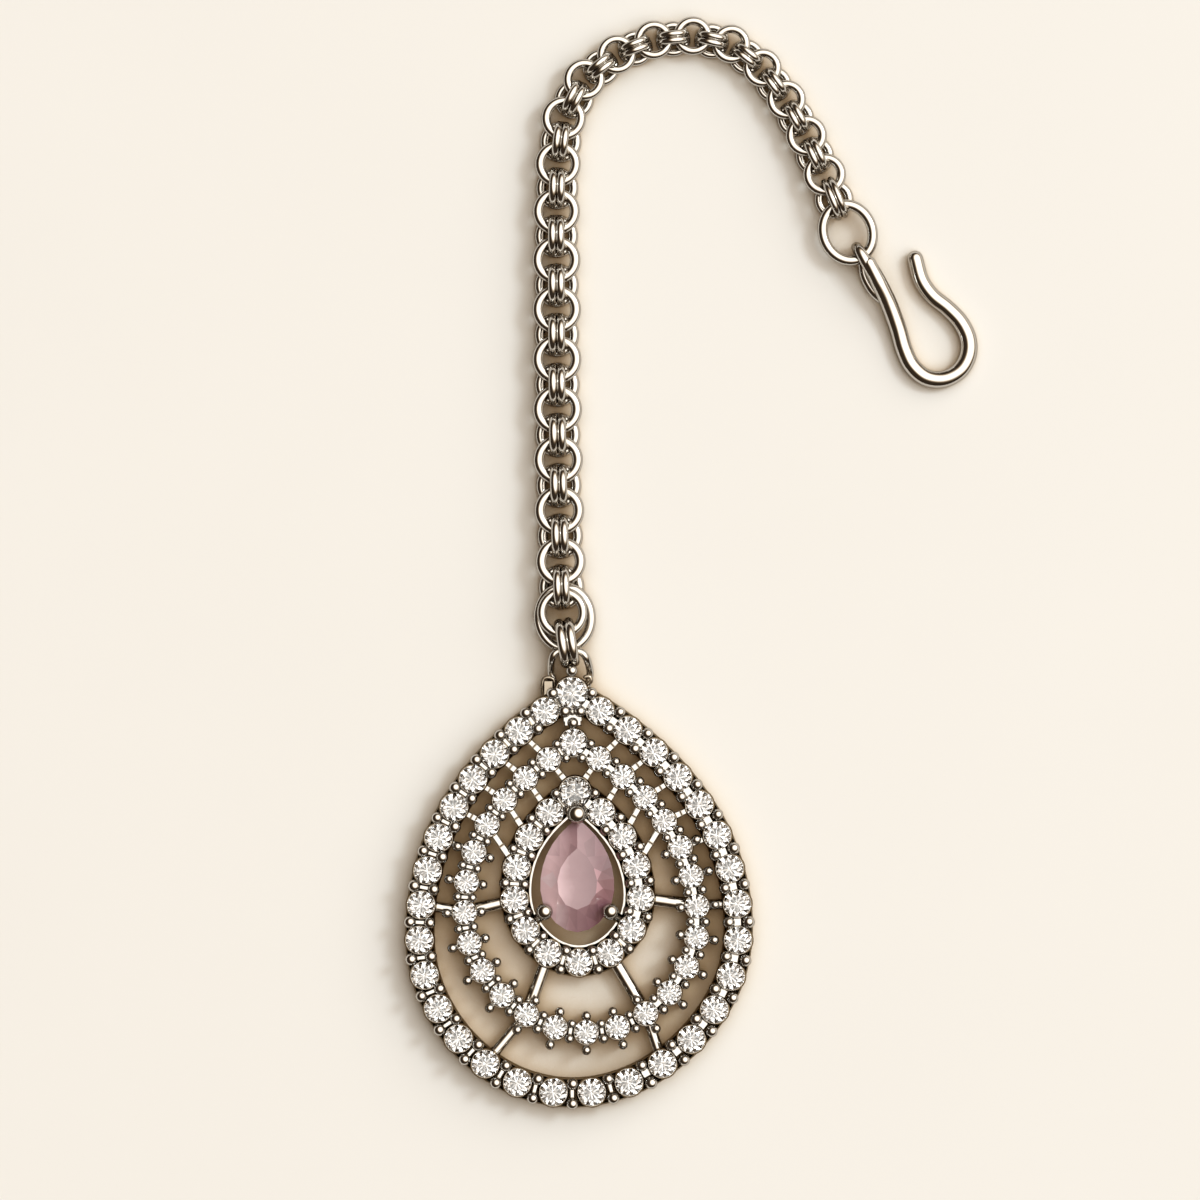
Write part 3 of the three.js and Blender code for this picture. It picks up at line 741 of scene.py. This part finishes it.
def beads(shape, row):
    """Two beads at every junction, with a small flat bar between them, wider on the right side."""
    for number in range(row.stones):
        spot, outward = row.place(number + 0.5)
        beside_tip = number in (0, row.stones - 1)
        reach = row.bead_out + (TIP_BEAD_SPREAD if beside_tip else 0)
        for way in (-1, 1):
            size = random.uniform(*BEAD_SIZES)
            bead_on_post(shape, spot + outward * way * reach, row.bead * size)
        if number < row.stones / 2 - 2:
            bar(shape, spot - outward * reach, spot + outward * reach * 0.3, **WIDE_BAR)
        else:
            bar(shape, spot - outward * reach, spot + outward * reach, **NARROW_BAR)


def radial_beads(shape, row):
    """Beads inside and outside of the row's stones, all but the upper ones."""
    first = RADIAL_BEAD["first_stone"]
    for number in range(first, row.stones - first + 1):
        spot, outward = row.place(number)
        for reach in RADIAL_BEAD["reaches"]:
            bead = spot + outward * reach
            bar(shape, spot + outward * reach * 0.6, bead, **RADIAL_BAR)
            bead_on_post(shape, bead, RADIAL_BEAD["radius"], RADIAL_BEAD["height"])


def pendant_rows():
    for name, row, offsets in (
        ("outer", OUTER, (-1.2, 1.2)),
        ("middle", MIDDLE, (-0.5, 0.5)),
        ("halo", HALO, (-1.2, 1.2)),
    ):
        shape = Shape()
        seats(shape, row)
        for offset in offsets:
            rail(shape, row, offset, RAIL_WIDTH, 0, RAIL_TOP, RAIL_WIDTH)
        # the collars and rails take the darker metal, which is painted shade
        new_piece(f"{name}_seats", shape, SHADED_SEAT_METAL, "pendant_frame" if name == "outer" else None)
        shape = Shape()
        beads(shape, row)
        if row is MIDDLE:
            radial_beads(shape, row)
        if row is HALO:
            rail(shape, row, **WELL_RIM)
        new_piece(f"{name}_beads", shape, METAL)


def point_on(row, number, side):
    return row.place(number if side > 0 else row.stones - number)[0]


def outside_stones(row_a, a, row_b, b, side):
    """The two ends of a strut between two stones, at the walls of their seats."""
    start, end = point_on(row_a, a, side), point_on(row_b, b, side)
    run = unit(end - start)
    return start + run * row_a.radius(a), end - run * row_b.radius(b)


SHORT_STRUT = {"bottom": 0.8, "top": 1.9}
SHORT_STRUT_WIDTHS = (0.52, 0.58)
SHORT_STRUT_GAP = 0.1
LONG_STRUT_HEIGHT = 1.2
OUTER_STRUT_WIRE = 1.0
INNER_STRUT_WIRE = 1.2
LONG_STRUTS = (
    # number of the outer row's stone, of the middle row's, of the halo's
    (8, 7, 4),
    (13, 11, 6),
)


def struts():
    """The bars between the rows: short double ones in the upper part, long round ones lower down."""
    shape = Shape()
    for side in (-1, 1):
        joints = [(OUTER, i + 1, MIDDLE, i) for i in range(1, 6)]
        joints += [(MIDDLE, i, HALO, i - 1) for i in range(1, 5)]
        for joint in joints:
            start, end = outside_stones(*joint, side)
            gap = unit(end - start) * SHORT_STRUT_GAP / 2
            half = (start + end) / 2
            bar(shape, start, half - gap, SHORT_STRUT_WIDTHS[0], **SHORT_STRUT)
            bar(shape, half + gap, end, SHORT_STRUT_WIDTHS[1], **SHORT_STRUT)
        for outer, middle, halo in LONG_STRUTS:
            for wire, joint in (
                (OUTER_STRUT_WIRE, (OUTER, outer, MIDDLE, middle)),
                (INNER_STRUT_WIRE, (MIDDLE, middle, HALO, halo)),
            ):
                ends = [spot + UP * LONG_STRUT_HEIGHT for spot in outside_stones(*joint, side)]
                swept_wire(shape, ends, [wire, wire], 20, ends="flat")
    new_piece("struts", shape, METAL)


TIP_PLATE_STEPS = (
    # share of the way from the tip stone to the one below it, width
    (0.33, 2.1),
    (0.42, 1.7),
    (0.5, 1.5),
)
TIP_PLATE_STEP = {"length": 0.16, "bottom": 0.9, "top": 2.0}
TIP_PLATE_BEADS = (
    # share of the way, radius, height
    (0.375, 0.33, 2.3),
    (0.6, 0.5, 2.5),
)
TOP_BEAD = {"up": 2.02, "radius": 0.52, "height": 2.92}


def tip_plate():
    """The flared plate under the tip stone, with its two beads. Each step is a little higher."""
    shape = Shape()
    top, _ = OUTER.place(0)
    below, _ = MIDDLE.place(0)
    run = below - top
    for share, width in TIP_PLATE_STEPS:
        end = top + run * (share + TIP_PLATE_STEP["length"])
        height = TIP_PLATE_STEP["top"] + share * 0.1
        bar(shape, top + run * share, end, width, TIP_PLATE_STEP["bottom"], height)
    for share, radius, height in TIP_PLATE_BEADS:
        bead_on_post(shape, top + run * share, radius, height)
    new_piece("tip_plate", shape, METAL)


def top_bead():
    shape = Shape()
    bead_on_post(shape, TIP + np.array([0, TOP_BEAD["up"], 0]), TOP_BEAD["radius"], TOP_BEAD["height"])
    new_piece("top_bead", shape, METAL)


CLAWS = (
    # place round the stone, width of the ball, how far out it stands
    (0.0, 1.8, 0.42),
    (0.36, 1.5, 0.2),
    (0.64, 1.5, 0.2),
)
CLAW_HEIGHT = 4.0
CLAW_WIRE = 0.92
CLAW_POST = (
    # distance out from the stone's edge, height
    (2.0, 1.2),
    (1.25, 1.8),
    (0.8, 3.0),
    (0.4, CLAW_HEIGHT),
)


def claws():
    """The three claws, each a bent post with a ball that bears on the centre stone."""
    girdle = pear_curve(**CENTRE_STONE)
    for number, (at, width, ball_out) in enumerate(CLAWS):
        rim = girdle.at(at)
        outward = unit(HALO.curve.at(at) - rim)
        shape = Shape()
        curve = Curve([rim + outward * out + UP * height for out, height in CLAW_POST], 12)
        wire_along(shape, curve, CLAW_WIRE, 24, 18)
        ball(shape, rim + outward * ball_out + UP * CLAW_HEIGHT, width / 2, 28)
        new_piece(f"claw_{number + 1}", shape, METAL)


BAIL_WIRE = 0.66
BAIL_TOP = TIP + np.array([-0.28, 3.7, 0])
BAIL_FOOT = TIP + np.array([0, 0.59, 0])
BAIL_HALF = (
    # share of the way from the top to the foot, width, height
    (1, 2.8, 1.1),
    (0.6, 3.5, 1.3),
    (0.12, 2.9, 2.31),
    (0, 2.09, 2.36),
)
LEFT_TAB = {"sideways": -2.1, "high": 1.3, "low": -0.4}
LEFT_TAB_BAR = {"width": 1.2, "bottom": 0.6, "top": 1.5, "soft": 0.25}
# the curled ends of the tabs: to the right of the tip, up from it, height
LEFT_CURL = ((-2.6, -0.3, 1.3), (-2.68, 0.7, 1.6), (-2.45, 1.35, 1.7), (-1.7, 1.3, 1.7), (-1.5, 0.7, 1.5))
RIGHT_CURL = ((1.2, 1.45, 2.0), (1.55, 1.5, 2.0), (1.75, 1.15, 1.9), (1.5, 0.85, 1.7))
LEFT_CURL_WIRE = 0.34
RIGHT_CURL_WIRE = 0.38


def bail():
    """The wire loop behind the tip, and the two small tabs that hold its ends."""

    def corner(side, share, width, height):
        spot = BAIL_TOP + (BAIL_FOOT - BAIL_TOP) * share + np.array([side * width / 2, 0, 0])
        return spot + UP * height

    left = [corner(-1, *row) for row in BAIL_HALF]
    right = [corner(1, *row) for row in reversed(BAIL_HALF)]
    shape = Shape()
    wire_along(shape, Curve(left + right, 16), BAIL_WIRE, 64, 20)
    new_piece("bail", shape, METAL)
    shape = Shape()
    high, low = (TIP + np.array([LEFT_TAB["sideways"], LEFT_TAB[end], 0]) for end in ("high", "low"))
    bar(shape, high, low, **LEFT_TAB_BAR)
    for curl, wire, stations in ((LEFT_CURL, LEFT_CURL_WIRE, 24), (RIGHT_CURL, RIGHT_CURL_WIRE, 18)):
        wire_along(shape, Curve([TIP + np.array(spot) for spot in curl], 8), wire, stations, 12)
    # the tabs take the darker metal, which is painted shade
    new_piece("bail_tabs", shape, SHADED_SEAT_METAL)


# The stones. A facet's look is the number of its material in CLEAR_LOOKS or ROSE_LOOKS.

CLEAR_LOOKS = (CLEAR, GREY_REFLECTION_FACET, DARK_REFLECTION_FACET, SHADED_BACK_FACET, WHITE_GLINT_FACET)
# all looks but PLAIN are painted reflections, painted shade or painted glints
PLAIN, GREY, DARK, BACK, WHITE = range(5)
ROSE_LOOKS = (ROSE, LIT_ROSE_FACET, SHADED_ROSE_FACET, ROSE_GLINT)
# one for each corner of the pear stone, clockwise from its tip: painted light and shade on its facets, and
# its painted glints
PEAR_FACET_SHADE = (0, 2, 0, 0, 1, 2, 0, 1, 0, 1, 0, 0)
PEAR_GLINTS = (0, 0, 3, 3, 0, 0, 0, 0, 0, 0, 0, 2)


def brilliant_looks(k):
    """The looks of one corner's facets: painted dark and grey reflections on a few, a dimmed back as
    painted shade, and a painted white glint in most cores.
    """
    bezel = GREY if k % 3 == 0 else PLAIN
    lower = BACK if k % 3 == 1 else PLAIN
    back = BACK if k % 4 == 0 else PLAIN
    core = WHITE if k % 5 != 2 else PLAIN
    return [PLAIN, bezel, PLAIN, DARK, PLAIN, PLAIN, PLAIN, lower, PLAIN, back, core]


def pear_looks(k):
    """The looks of one corner's facets: painted light and shade by turns round the crown, and a painted
    glint.
    """
    tone, following = PEAR_FACET_SHADE[k], PEAR_FACET_SHADE[(k + 3) % len(PEAR_FACET_SHADE)]
    return [PEAR_GLINTS[k], tone, tone, following, following, *[PLAIN] * 6]


def faceted_stone(shape, rim, middle, levels, shares, corners, start, looks_of):
    """A brilliant. rim(share) is its outline, the levels its heights and the shares how far out they lie.

    levels: table, star corners, top of the girdle, its foot, lower corners, culet.
    shares: table, star corners, lower corners.
    start: where the first corner lies, as a share of the way round.
    """
    table, star, top, foot, low, culet = levels
    table_share, star_share, low_share = shares

    def at(turn, out, height):
        spot = middle + (rim((turn + start) % 1.0) - middle) * out
        return np.array([spot[0], spot[1], height])

    points = []
    for k in range(corners):
        here, between = k / corners, (k + 0.5) / corners
        points += [
            at(here, table_share, table),
            at(between, star_share, star),
            at(here, 1, top),
            at(between, 1, top),
            at(here, 1, foot),
            at(between, 1, foot),
            at(between, low_share, low),
        ]
    tip = len(points)
    points.append(at(0, 0, culet))
    faces = [tuple(7 * k for k in range(corners))]
    for k in range(corners):
        a, b = 7 * k, 7 * ((k + 1) % corners)
        before = 7 * ((k - 1) % corners)
        faces += [
            (a, a + 1, b),
            (a, before + 1, a + 2),
            (a, a + 2, a + 1),
            (a + 1, a + 2, a + 3),
            (a + 1, a + 3, b + 2),
            (a + 2, a + 4, a + 5, a + 3),
            (a + 3, a + 5, b + 4, b + 2),
            (a + 6, a + 5, a + 4),
            (a + 6, b + 4, a + 5),
            (a + 6, a + 4, tip),
            (before + 6, tip, a + 4),
        ]
    looks = [PLAIN]
    for k in range(corners):
        looks += looks_of(k)
    shape.add(points, faces, looks)


BRILLIANT_SHARES = (0.56, 0.84, 0.25)
BRILLIANT_CORNERS = 10
BRILLIANT_DEPTH = 0.87  # of the stone's radius
LOWER_CORNERS = 0.77  # of that depth
STAR_HEIGHT = 0.667  # of the height over the girdle
GIRDLE_LIFT = 0.04
GIRDLE_WIDTH = 0.05
PEAR_SHARES = (0.54, 0.7, 0.35)
PEAR_LEVELS = (4.1, 3.72, 3.0, 2.75, 1.6, 1.0)
PEAR_MIDDLE = 0.56  # of its height, down from its tip


def row_stones():
    for name, row in (("outer", OUTER), ("middle", MIDDLE), ("halo", HALO)):
        shape = Shape()
        for number in range(row.stones):
            spot, _ = row.place(number)
            radius = row.radius(number)

            def rim(share, spot=spot, radius=radius):
                turn = -2 * math.pi * share
                return spot + radius * np.array([math.cos(turn), math.sin(turn), 0])

            girdle = SEAT_TOP + GIRDLE_LIFT
            rise = (STONE_TOP - SEAT_TOP) * radius / OUTER.radius(2)
            depth = BRILLIANT_DEPTH * radius
            crown = (girdle + rise, girdle + rise * STAR_HEIGHT)
            back = (girdle - depth * LOWER_CORNERS, girdle - depth)
            levels = (*crown, girdle, girdle - GIRDLE_WIDTH, *back)
            start = random.random()
            faceted_stone(
                shape, rim, spot, levels, BRILLIANT_SHARES, BRILLIANT_CORNERS, start, brilliant_looks
            )
        new_piece(f"{name}_stones", shape, CLEAR_LOOKS, crease=1)


def pear_stone():
    curve = pear_curve(**CENTRE_STONE)
    down = STONE_DOWN + CENTRE_STONE["height"] * PEAR_MIDDLE
    middle = TIP + np.array([STONE_SIDEWAYS, -down, 0])
    shape = Shape()
    faceted_stone(
        shape, curve.at, middle, PEAR_LEVELS, PEAR_SHARES, len(PEAR_FACET_SHADE), 0.0, pear_looks
    )
    new_piece("centre_stone", shape, ROSE_LOOKS, "pear_stone", crease=1)


pendant_rows()
struts()
tip_plate()
top_bead()
claws()
bail()
row_stones()
pear_stone()


# The table, the light and the camera

PHOTO_MIDDLE = (-8.16, -3.32)
PHOTO_WIDTH = 108.0
CAMERA_HEIGHT = 600.0
SENSOR_WIDTH = 36
BRIGHT_SIDE = (0.45, 0.25, 0.86)
ROOM = (
    # how far a direction points to the bright side, and the colour there
    (0.0, (0.022, 0.015, 0.01, 1)),
    (0.44, (0.025, 0.018, 0.012, 1)),
    (0.58, (0.125, 0.088, 0.055, 1)),
    (0.68, (0.46, 0.38, 0.29, 1)),
    (0.78, (1.0, 0.965, 0.905, 1)),
    (1.0, (1.0, 0.97, 0.915, 1)),
)
ROOM_STRENGTH = 2.3
KEY = {"turn": 28, "height": 48, "distance": 1.5, "size": 0.35, "power": 8.2, "color": (0.76, 0.89, 1.0)}
TABLE_SIZE = 3
CREAM = ((0.715, 0.685, 0.645, 1), (0.730, 0.700, 0.660, 1))
CONTACT_SHADE_REACH = 6
CONTACT_SHADE = (
    # how open a spot of the table is, and the painted shade, darker and warmer, that its colour takes there
    (0.05, (0.52, 0.34, 0.17, 1)),
    (0.35, (0.72, 0.57, 0.40, 1)),
    (0.62, (0.97, 0.93, 0.87, 1)),
    (0.8, (1.0, 1.0, 1.0, 1)),
)


def table_top():
    """A cream table, with painted shade: warmer and darker where the piece lies close over it."""
    material, nodes, links, shader = new_material("cream_table")
    grain = nodes.new("ShaderNodeTexNoise")
    grain.inputs["Scale"].default_value = 40
    place = nodes.new("ShaderNodeTexCoord")
    links.new(place.outputs["Object"], grain.inputs["Vector"])
    tint = nodes.new("ShaderNodeValToRGB")
    for stop, color in zip(tint.color_ramp.elements, CREAM):
        stop.color = color
    links.new(grain.outputs["Fac"], tint.inputs["Fac"])
    # painted shade: the table's colour darkens and warms where the piece hides it from the room
    covered = nodes.new("ShaderNodeAmbientOcclusion")
    covered.samples = 8
    covered.inputs["Distance"].default_value = CONTACT_SHADE_REACH * MM
    shade_tint = nodes.new("ShaderNodeValToRGB")
    fill_ramp(shade_tint, CONTACT_SHADE)
    links.new(covered.outputs["AO"], shade_tint.inputs["Fac"])
    both = nodes.new("ShaderNodeVectorMath")
    both.operation = "MULTIPLY"
    links.new(tint.outputs["Color"], both.inputs[0])
    links.new(shade_tint.outputs["Color"], both.inputs[1])
    links.new(both.outputs["Vector"], shader.inputs["Base Color"])
    shader.inputs["Roughness"].default_value = 0.9
    shader.inputs["Specular IOR Level"].default_value = 0.1
    bpy.ops.mesh.primitive_plane_add(size=TABLE_SIZE, location=(0, 0, 0))
    table = bpy.context.object
    table.name = "table_top"
    table.data.materials.append(material)


def soft_box(name, aim, turn, height, distance, size, power, color):
    """A square area light, turn degrees round from +X and height degrees above the table."""
    light = bpy.data.lights.new(name, "AREA")
    light.size = size
    light.energy = power
    light.color = color
    lamp = bpy.data.objects.new(name, light)
    bpy.context.scene.collection.objects.link(lamp)
    turn, height = math.radians(turn), math.radians(height)
    level_part = math.cos(height)
    away = np.array([level_part * math.cos(turn), level_part * math.sin(turn), math.sin(height)])
    lamp.location = aim + away * distance
    lamp.rotation_euler = (math.pi / 2 - height, 0, turn + math.pi / 2)


def surroundings():
    """A bright room above and to the right, and a warm dark one to the lower left."""
    world = bpy.data.worlds.new("room")
    bpy.context.scene.world = world
    world.use_nodes = True
    nodes, links = world.node_tree.nodes, world.node_tree.links
    place = nodes.new("ShaderNodeTexCoord")
    facing = nodes.new("ShaderNodeVectorMath")
    facing.operation = "DOT_PRODUCT"
    facing.inputs[1].default_value = BRIGHT_SIDE
    links.new(place.outputs["Generated"], facing.inputs[0])
    tint = nodes.new("ShaderNodeValToRGB")
    fill_ramp(tint, ROOM)
    links.new(facing.outputs["Value"], tint.inputs["Fac"])
    links.new(tint.outputs["Color"], nodes["Background"].inputs["Color"])
    nodes["Background"].inputs["Strength"].default_value = ROOM_STRENGTH


def camera():
    """Straight above, and far up, so that the view is nearly flat."""
    lens = bpy.data.cameras.new("camera")
    lens.sensor_width = SENSOR_WIDTH
    lens.lens = SENSOR_WIDTH * CAMERA_HEIGHT / PHOTO_WIDTH
    eye = bpy.data.objects.new("camera", lens)
    eye.location = np.array([*PHOTO_MIDDLE, CAMERA_HEIGHT]) * MM
    bpy.context.scene.collection.objects.link(eye)
    bpy.context.scene.camera = eye


table_top()
soft_box("key", np.array([*PHOTO_MIDDLE, 0]) * MM, **KEY)
bpy.context.scene.view_settings.view_transform = "Standard"
surroundings()
camera()
